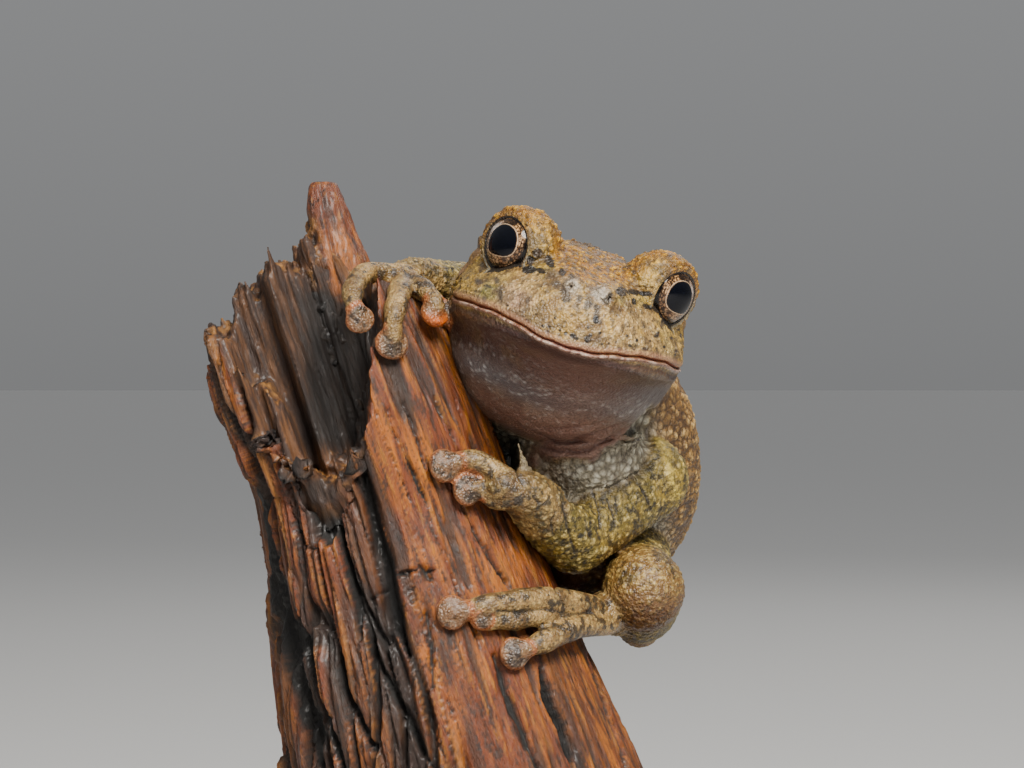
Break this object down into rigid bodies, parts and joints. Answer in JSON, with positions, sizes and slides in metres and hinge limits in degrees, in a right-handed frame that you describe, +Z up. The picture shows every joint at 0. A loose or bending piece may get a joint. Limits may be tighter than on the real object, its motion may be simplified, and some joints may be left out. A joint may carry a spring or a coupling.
{
  "type": "gray tree frog",
  "caption": "Life-size gray tree frog that grips the front of a short broken branch, a still model on a round display stand.",
  "frame": {"origin": "centre of the underside of the stand's base", "axes": "+Z up, -Y towards the front, which the frog faces, +X to the right as seen from the front"},
  "size_m": [0.062, 0.062, 0.0602],
  "materials": {
    "skin_back": "moist satin skin, olive brown with dark flecks",
    "skin_limb": "moist satin skin, olive gold with dark flecks",
    "skin_hand": "moist satin skin, tan and cream with dark blotches",
    "eye": "wet gloss",
    "branch": "wet weathered wood",
    "stand": "dark satin",
    "rod": "brushed"
  },
  "bodies": {
    "root": {"head": "skin_back", "torso": "skin_back", "eye_left": "eye", "eye_right": "eye", "upper_arm_left": "skin_limb", "upper_arm_right": "skin_limb", "forearm_left": "skin_limb", "forearm_right": "skin_limb", "hand_left": "skin_hand", "hand_right": "skin_hand", "thigh_left": "skin_limb", "thigh_right": "skin_limb", "shank_left": "skin_limb", "shank_right": "skin_limb", "foot_left": "skin_hand", "foot_right": "skin_hand", "perch": "branch", "stand_base": "stand", "stand_rod_1": "rod", "stand_rod_2": "rod"}
  },
  "joints": []
}
